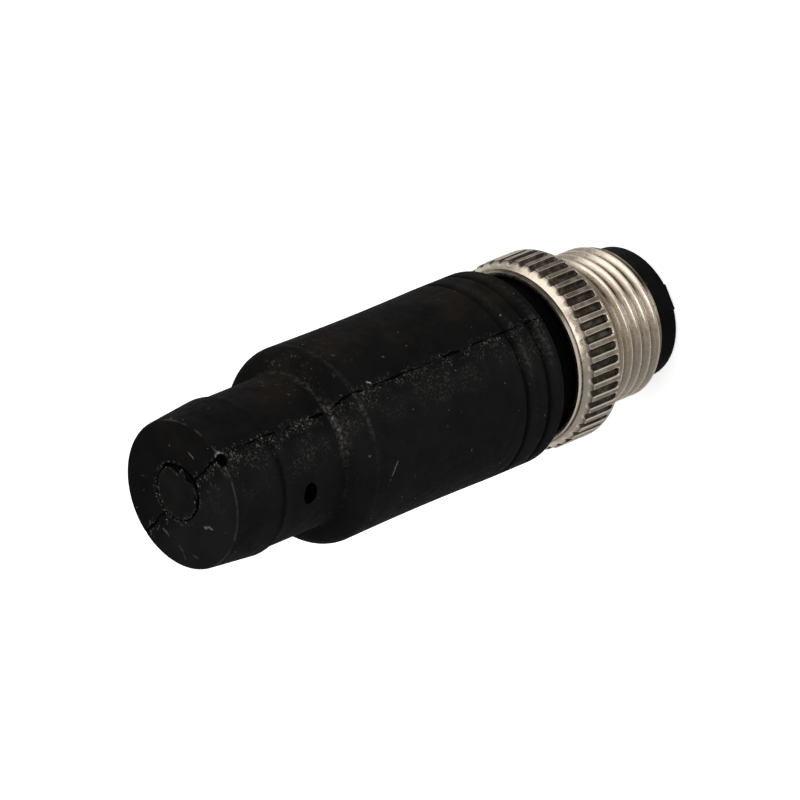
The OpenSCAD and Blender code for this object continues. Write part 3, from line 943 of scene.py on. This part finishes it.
def body_profile(body):
    """Outline of the moulding as (radius, height), from its nose to the middle of its rear face."""
    shoulder = REAR_Z - body.collar_l - body.neck_l
    front = shoulder - body.body_l
    r = body.radius
    groove = front + body.groove_at
    side = groove + body.groove_pitch + body.groove_w / 2
    side_end = shoulder - body.shoulder_fillet
    step = REAR_Z - body.collar_l - body.collar_step_l
    points = [(body.nose_r - NOSE_WALL, NOSE_Z), (body.nose_r, NOSE_Z), (body.nose_r, front)]
    points += arc(r - body.front_fillet, front + body.front_fillet, body.front_fillet, -90, 0)
    points += ring_groove(r, groove, body)
    points += ring_groove(r, groove + body.groove_pitch, body)
    waist_steps = 16
    for i in range(1, waist_steps):
        drawn_in = body.waist * math.sin(TURN / 2 * i / waist_steps)
        points.append((r - drawn_in, side + (side_end - side) * i / waist_steps))
    points += arc(r - body.shoulder_fillet, side_end, body.shoulder_fillet, 0, 90, 10)
    fillet = body.neck_fillet
    points += arc(body.neck_r + fillet, shoulder + fillet, fillet, 270, 180)
    collar_steps = 10
    for i in range(collar_steps + 1):
        rise = (body.collar_r - body.neck_r) * (1 - math.cos(TURN / 2 * i / collar_steps)) / 2
        points.append((body.neck_r + rise, step + body.collar_step_l * i / collar_steps))
    fillet = body.rear_fillet
    points += arc(body.collar_end_r - fillet, REAR_Z - fillet, fillet, 0, 90, 5)
    return points


class PLUG_OT_moulded_body(bpy.types.Operator):
    """Turns the moulded grip body, and cuts its bore, pin holes and nick"""

    bl_idname = "plug.moulded_body"
    bl_label = "Moulded body"

    def execute(self, context):
        body = context.scene.plug_body
        colours = context.scene.plug_colours
        outer = body_profile(body)
        inner = [(outer[-1][0] * k / 4, REAR_Z) for k in (3, 2, 1)]
        hollow_end = NOSE_Z + NOSE_HOLLOW
        hollow = [(0, REAR_Z), (0, hollow_end), (body.nose_r - NOSE_WALL, hollow_end)]
        piece = turn_on_lathe("moulded_body_skin", outer + inner + hollow, 256)
        self.cut_bore(piece, body)
        for half_turn in (0, TURN / 2):
            self.cut_pip(piece, body, half_turn)
        self.cut_nick(piece, body, body.nick_turn, body.nick_r, body.nick_depth)
        self.cut_nick(piece, body, body.seam + TURN / 2, body.small_nick_r, body.small_nick_depth)
        smooth(piece, 35)
        material = moulding_material("black_moulding", colours, body)
        finish_piece(piece, "plug", material, "black_moulding", "moulded_body")
        return {"FINISHED"}

    def cut_bore(self, piece, body):
        """Cuts the hole for the cable blank, close round it on one side and torn open on the other."""
        gap = 0.05 * MM
        radius = (BLANK_BOX[1][0] - BLANK_BOX[0][0]) / 2 + gap
        centre = Matrix.Rotation(body.blank_turn, 3, "Z") @ Vector((body.blank_shift, 0, 0))
        torn = heading(body.seam)
        middle = centre + torn * gap
        deselect_all()
        bpy.ops.mesh.primitive_cylinder_add(
            vertices=96, radius=radius, depth=4 * MM, location=(*middle.xy, REAR_Z)
        )
        cutter = bpy.context.object
        place_mesh(cutter)
        activate(cutter)
        bpy.ops.object.mode_set(mode="EDIT")
        bm = bmesh.from_edit_mesh(cutter.data)
        for vertex in bm.verts:
            vertex.select = (vertex.co - middle).dot(torn) > 0.3 * MM
        bm.select_flush_mode()
        bmesh.update_edit_mesh(cutter.data)
        bpy.ops.transform.vertex_random(offset=0.09 * MM, uniform=0.0, normal=1.0, seed=2)
        bpy.ops.transform.translate(value=torn * gap)
        bpy.ops.object.mode_set(mode="OBJECT")
        cut_away(piece, cutter)

    def cut_pip(self, piece, body, half_turn):
        """Cuts a blind hole in the neck, square to the parting plane."""
        deselect_all()
        bpy.ops.mesh.primitive_cylinder_add(
            vertices=48, radius=body.pip_d / 2, depth=2 * body.pip_depth
        )
        cutter = bpy.context.object
        on_surface = Matrix.Rotation(body.seam - body.pip_turn + half_turn, 4, "Z")
        square = Matrix.Rotation(body.seam - TURN / 4 + half_turn, 4, "Z")
        lying = Matrix.Rotation(TURN / 4, 4, "Y")
        place = on_surface @ Vector((body.neck_r, 0, REAR_Z - body.pip_from_rear))
        cutter.matrix_world = Matrix.Translation(place) @ square @ lying
        place_mesh(cutter)
        cut_away(piece, cutter)

    def cut_nick(self, piece, body, turn, radius, depth):
        """Scoops a ragged nick out of the rear edge."""
        deselect_all()
        reach = body.collar_end_r + radius - depth
        place = Matrix.Rotation(turn, 3, "Z") @ Vector((reach, 0, REAR_Z))
        bpy.ops.mesh.primitive_ico_sphere_add(subdivisions=4, radius=radius, location=place)
        cutter = bpy.context.object
        bpy.ops.object.mode_set(mode="EDIT")
        bpy.ops.mesh.select_all(action="SELECT")
        bpy.ops.transform.vertex_random(offset=radius / 12, uniform=1.0, seed=4)
        bpy.ops.mesh.vertices_smooth(factor=0.5, repeat=1)
        bpy.ops.object.mode_set(mode="OBJECT")
        place_mesh(cutter)
        cut_away(piece, cutter)


class PLUG_OT_cable_blank(bpy.types.Operator):
    """Turns the blank that fills the cable entry, with a soft uneven end"""

    bl_idname = "plug.cable_blank"
    bl_label = "Cable blank"

    def execute(self, context):
        body = context.scene.plug_body
        colours = context.scene.plug_colours
        radius = (BLANK_BOX[1][0] - BLANK_BOX[0][0]) / 2
        low, high = BLANK_BOX[0][2], BLANK_BOX[1][2]
        edge = 0.12 * MM
        points = [(0, low), (radius, low), (radius, high - edge)]
        points += arc(radius - edge, high - edge, edge, 0, 90, 4)
        points += [(radius * share, high) for share in (0.8, 0.6, 0.4, 0.2, 0)]
        piece = turn_on_lathe("cable_blank_rod", points, 96)
        piece.location = Matrix.Rotation(body.blank_turn, 3, "Z") @ Vector((body.blank_shift, 0, 0))
        place_mesh(piece)
        smooth(piece)
        centre = around(body.blank_shift / MM, REAR_Z / MM, math.degrees(body.blank_turn))
        torn_rim = (centre, radius / MM, tuple(heading(body.seam)))
        material = plain_plastic("blank_plastic", colours.blank, torn_rim)
        finish_piece(piece, "plug", material, "blank_plastic", "cable_blank")
        return {"FINISHED"}


class PLUG_OT_coupling_screw(bpy.types.Operator):
    """Turns the coupling screw, presses its knurl and cuts its thread"""

    bl_idname = "plug.coupling_screw"
    bl_label = "Coupling screw"

    columns_per_groove = 12

    def execute(self, context):
        screw = context.scene.plug_screw
        colours = context.scene.plug_colours
        columns = self.columns_per_groove * screw.knurl_count
        piece = turn_on_lathe("coupling_screw_turned", self.profile(screw), columns)
        self.press_knurl(piece, screw)
        self.soften(piece)
        cut_away(piece, self.thread_cutter(screw))
        smooth(piece, 28)
        material = nickel_material(colours, screw)
        finish_piece(piece, "coupling", material, "nickel", "coupling_screw")
        return {"FINISHED"}

    def stations(self, screw):
        """Heights and radii that the profile and the knurl share."""
        front = SCREW_BOX[0][2]
        back = SCREW_BOX[1][2]
        knurl_r = (SCREW_BOX[1][0] - SCREW_BOX[0][0]) / 2
        return front, front + screw.thread_l, back - screw.lip_l, back, knurl_r

    def profile(self, screw):
        """Closed section of the screw as (radius, height)."""
        front, grip_front, grip_back, back, knurl_r = self.stations(screw)
        cone_r = knurl_r - screw.back_cone_h
        lip_r = cone_r - screw.lip_step
        counterbore_r = lip_r - screw.lip_wall
        relief = grip_front - screw.relief_l
        face_r = knurl_r - screw.front_chamfer_h
        start = grip_front + screw.knurl_start
        points = [
            (screw.bore_r, front),
            (screw.thread_r - screw.thread_chamfer, front),
            (screw.thread_r, front + screw.thread_chamfer),
            (screw.thread_r, relief),
            (screw.relief_r, relief + 0.25 * MM),
            (screw.relief_r, grip_front),
            (face_r, grip_front),
            (knurl_r, grip_front + screw.front_chamfer_l),
            (knurl_r, start),
            (knurl_r, start + 0.12 * MM),
            (knurl_r, start + 0.3 * MM),
        ]
        groove_share = 1 - screw.knurl_depth / screw.back_cone_h
        cone_steps = 6
        for step in range(cone_steps + 1):
            share = 1 - (1 - groove_share) * step / cone_steps
            rise, back_off = screw.back_cone_h * share, screw.back_cone_l * share
            points.append((cone_r + rise, grip_back - back_off))
        return points + [
            (cone_r, grip_back),
            (lip_r, grip_back),
            (lip_r, back),
            (counterbore_r, back),
            (counterbore_r, back - screw.counterbore_l),
            (screw.bore_r, back - screw.counterbore_l),
        ]

    def press_knurl(self, piece, screw):
        """Pushes the columns of each groove in to its bottom, and leaves the lands."""
        _, grip_front, grip_back, _, knurl_r = self.stations(screw)
        start = grip_front + screw.knurl_start
        near = 0.001 * MM
        depth_shares = {0: (1.0, start)}
        for offset, share, later in ((1, 0.98, 0.0), (2, 0.86, 0.0), (3, 0.5, 0.15 * MM)):
            depth_shares[offset] = (share, start + later)
            depth_shares[self.columns_per_groove - offset] = (share, start + later)
        column = TURN / (self.columns_per_groove * screw.knurl_count)
        activate(piece)
        bpy.ops.object.mode_set(mode="EDIT")
        for offset, (share, from_z) in depth_shares.items():
            floor_r = knurl_r - screw.knurl_depth * share
            bm = bmesh.from_edit_mesh(piece.data)
            rings = sorted({
                round(math.hypot(v.co.x, v.co.y), 6) for v in bm.verts
                if from_z < v.co.z < grip_back and math.hypot(v.co.x, v.co.y) > floor_r + near
            })
            for ring in rings:
                bm = bmesh.from_edit_mesh(piece.data)
                for vertex in bm.verts:
                    radius = math.hypot(vertex.co.x, vertex.co.y)
                    index = round(math.atan2(vertex.co.y, vertex.co.x) / column)
                    vertex.select = (
                        index % self.columns_per_groove == offset
                        and abs(radius - ring) < 2 * near
                        and from_z + near < vertex.co.z < grip_back
                    )
                bm.select_flush_mode()
                bmesh.update_edit_mesh(piece.data)
                scale = floor_r / ring
                bpy.ops.transform.resize(value=(scale, scale, 1), center_override=(0, 0, 0))
        bpy.ops.mesh.select_all(action="SELECT")
        bpy.ops.transform.rotate(value=screw.screw_turn, orient_axis="Z", center_override=(0, 0, 0))
        bpy.ops.object.mode_set(mode="OBJECT")

    def soften(self, piece):
        """Rounds the edges a little, as plating does."""
        apply_modifier(
            piece, "BEVEL",
            width=0.03 * MM, segments=2, limit_method="ANGLE", angle_limit=math.radians(24),
        )

    def thread_cutter(self, screw):
        """A V-shaped ridge along a right-hand helix, from the thread's root to just past its crest."""
        root_r, crest_r = screw.root_r, screw.thread_r
        halves = [
            (root_r, 0.05 * MM),
            (root_r + 0.05 * MM, 0.13 * MM),
            (root_r + 0.18 * MM, 0.21 * MM),
            (root_r + 0.34 * MM, 0.3 * MM),
            (crest_r - 0.08 * MM, 0.37 * MM),
            (crest_r - 0.03 * MM, 0.42 * MM),
            (crest_r - 0.006 * MM, 0.47 * MM),
            (crest_r + 0.08 * MM, 0.495 * MM),
        ]
        section = [(radius, screw.thread_start - half) for radius, half in halves]
        section += [(radius, screw.thread_start + half) for radius, half in reversed(halves)]
        cutter = draw_profile("thread_cutter", section, True)
        bpy.ops.object.mode_set(mode="OBJECT")
        apply_modifier(
            cutter, "SCREW", axis="Z", angle=TURN, screw_offset=screw.pitch, iterations=7,
            steps=144, render_steps=144, use_merge_vertices=False, use_smooth_shade=False,
        )
        activate(cutter)
        bpy.ops.object.mode_set(mode="EDIT")
        bpy.ops.mesh.select_all(action="DESELECT")
        bpy.ops.mesh.select_mode(type="EDGE")
        bpy.ops.mesh.select_non_manifold(extend=False)
        bpy.ops.mesh.edge_face_add()
        bpy.ops.mesh.select_all(action="SELECT")
        bpy.ops.mesh.normals_make_consistent(inside=False)
        bpy.ops.mesh.select_mode(type="VERT")
        bpy.ops.object.mode_set(mode="OBJECT")
        return cutter


class PLUG_OT_inner_pieces(bpy.types.Operator):
    """Finishes the carrier, contacts, resistor, leads and solder joints that keep their solids"""

    bl_idname = "plug.inner_pieces"
    bl_label = "Inner pieces"

    def execute(self, context):
        colours = context.scene.plug_colours
        gold = plain_metal("gilt_brass", colours.gold, 0.16, 0.26)
        wire_metal = plain_metal("tinned_wire", (0.68, 0.68, 0.67), 0.25, 0.4)
        finishes = {
            "contact_carrier": plain_plastic("carrier_plastic", colours.carrier),
            "resistor_body": resistor_coat(),
            "resistor_lead_a": wire_metal,
            "resistor_lead_b": wire_metal,
        }
        for number in range(1, 6):
            finishes[f"pin_{number}"] = gold
        solder = plain_metal("solder", (0.55, 0.56, 0.58), 0.35, 0.5)
        for name in ("solder_joint_a", "solder_joint_b"):
            finishes[name] = solder
        for name, material in finishes.items():
            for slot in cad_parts[name].material_slots:
                slot.material = material
        return {"FINISHED"}


class PLUG_OT_stage(bpy.types.Operator):
    """Sets the pale floor, the soft lights and the camera"""

    bl_idname = "plug.stage"
    bl_label = "Stage"

    def execute(self, context):
        colours = context.scene.plug_colours
        self.floor(colours)
        self.world()
        self.lamps()
        self.camera(context.scene)
        context.scene.view_settings.view_transform = "Standard"
        return {"FINISHED"}

    def floor(self, colours):
        """A pale floor, white to the camera and faint in the metal, with the object's shadow."""
        deselect_all()
        bpy.ops.mesh.primitive_plane_add(size=6)
        floor = bpy.context.object
        floor.name = "floor"
        material, n, shader = new_material("pale_floor")
        wire(n, shader, Base_Color=tuple(colours.floor), Roughness=0.8, Specular_IOR_Level=0.1)
        path = n.add("LightPath").outputs
        seen_plainly, seen_mirrored = 0.7, 0.1
        mirrored = n.most(path["Is Glossy Ray"], path["Is Transmission Ray"])
        seen = n.most(n.times(path["Is Camera Ray"], seen_plainly), n.times(mirrored, seen_mirrored))
        wire(n, shader, Emission_Color=(1, 1, 1), Emission_Strength=seen)
        floor.data.materials.append(material)

    def world(self):
        """Pale light from all round, brightest low down, as in a tent."""
        world = bpy.data.worlds.new("studio")
        bpy.context.scene.world = world
        world.use_nodes = True
        n = Nodes(world.node_tree)
        background = world.node_tree.nodes["Background"]
        direction = n.add("TexCoord").outputs["Generated"]
        height = n.add("SeparateXYZ", {0: direction}).outputs[2]
        low_down, overhead = 0.36, 0.24
        tent = n.ramp(height, 0.35, 0.75, low_down, overhead)
        strength = n.most(n.add("LightPath").outputs["Is Camera Ray"], tent)
        n.tree.links.new(strength, background.inputs["Strength"])
        background.inputs["Color"].default_value = (1, 1, 1, 1)

    def lamps(self):
        """Soft lamps: a large one above, one low down at the side and a small one in front."""
        for name, turn, rise, distance, size, power in (
            ("top_lamp", 0, 72, 0.95, 1.15, 4.0),
            ("side_lamp", -28, 25, 0.8, 1.08, 3.2),
            ("front_lamp", -94, 50, 0.9, 0.5, 1.25),
        ):
            data = bpy.data.lights.new(name, "AREA")
            data.shape = "DISK"
            data.size = size
            data.energy = power
            lamp = bpy.data.objects.new(name, data)
            bpy.context.scene.collection.objects.link(lamp)
            raised = Matrix.Rotation(-math.radians(rise), 4, "Y")
            away = Matrix.Rotation(math.radians(turn), 4, "Z") @ raised @ Vector((distance, 0, 0))
            middle = Vector((0, 0, REAR_Z / 2))
            aim = (-away).to_track_quat("-Z", "Y").to_matrix().to_4x4()
            lamp.matrix_world = Matrix.Translation(middle + away) @ aim

    def camera(self, scene):
        """A camera above the rear end, turned about its line of sight."""
        settings = scene.plug_camera
        data = bpy.data.cameras.new("camera")
        data.lens = settings.lens
        data.clip_end = 20
        camera = bpy.data.objects.new("camera", data)
        scene.collection.objects.link(camera)
        tilt = Matrix.Rotation(TURN / 4 - settings.elevation, 4, "X")
        turned = tilt @ Matrix.Rotation(-settings.roll, 4, "Z")
        away = tilt @ Vector((0, 0, settings.distance))
        target = Vector((settings.target_x, settings.target_y, settings.target_z))
        camera.matrix_world = Matrix.Translation(target + away) @ turned
        scene.camera = camera


class PLUG_PT_panel(bpy.types.Panel):
    """Lists the steps that build the plug"""

    bl_idname = "PLUG_PT_panel"
    bl_label = "M12 terminating plug"
    bl_space_type = "VIEW_3D"
    bl_region_type = "UI"
    bl_category = "Plug"

    def draw(self, context):
        for step in STEPS:
            self.layout.operator(step.bl_idname)


STEPS = (
    PLUG_OT_moulded_body,
    PLUG_OT_cable_blank,
    PLUG_OT_coupling_screw,
    PLUG_OT_inner_pieces,
    PLUG_OT_stage,
)
SETTINGS = {
    "plug_body": BodySizes,
    "plug_screw": ScrewSizes,
    "plug_colours": PlugColours,
    "plug_camera": CameraSettings,
}


def register():
    for group in SETTINGS.values():
        bpy.utils.register_class(group)
    for name, group in SETTINGS.items():
        setattr(bpy.types.Scene, name, bpy.props.PointerProperty(type=group))
    for step in STEPS:
        bpy.utils.register_class(step)
    bpy.utils.register_class(PLUG_PT_panel)


def unregister():
    bpy.utils.unregister_class(PLUG_PT_panel)
    for step in reversed(STEPS):
        bpy.utils.unregister_class(step)
    for name in SETTINGS:
        delattr(bpy.types.Scene, name)
    for group in SETTINGS.values():
        bpy.utils.unregister_class(group)


def main():
    register()
    for step in STEPS:
        family, action = step.bl_idname.split(".")
        getattr(getattr(bpy.ops, family), action)()


if __name__ == "__main__":
    main()
